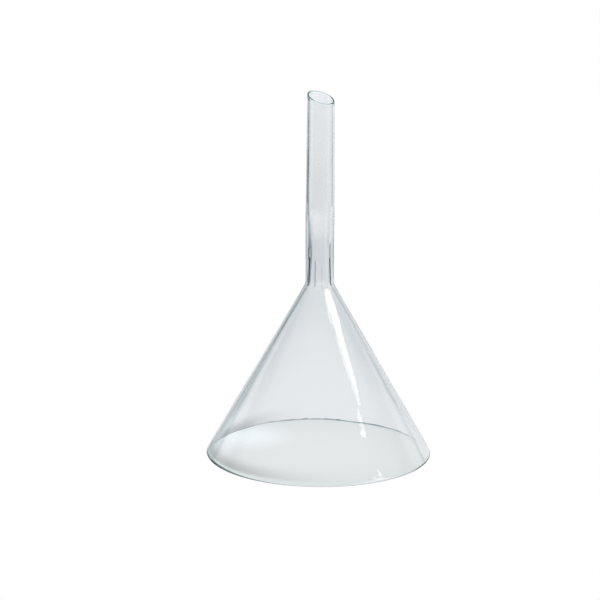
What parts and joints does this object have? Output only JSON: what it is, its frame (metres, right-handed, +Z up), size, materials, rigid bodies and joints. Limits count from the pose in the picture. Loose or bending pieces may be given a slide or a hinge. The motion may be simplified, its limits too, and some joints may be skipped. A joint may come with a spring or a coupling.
{
  "type": "conical glass filter funnel",
  "caption": "Plain conical laboratory funnel in one piece of clear glass, with a thick-walled neck, a long stem and a slanted fire-polished tip, standing upside down on its mouth.",
  "frame": {"origin": "centre of the mouth, on the plane of the rim that the funnel stands on", "axes": "+Z up the axis from the mouth to the tip of the stem; the low side of the slanted tip faces +X and -Y"},
  "size_m": [0.2, 0.2, 0.3203],
  "materials": {
    "clear_glass": "clear, polished, with a faint green tint in thick sections"
  },
  "bodies": {
    "root": {"funnel": "clear_glass"}
  },
  "joints": []
}
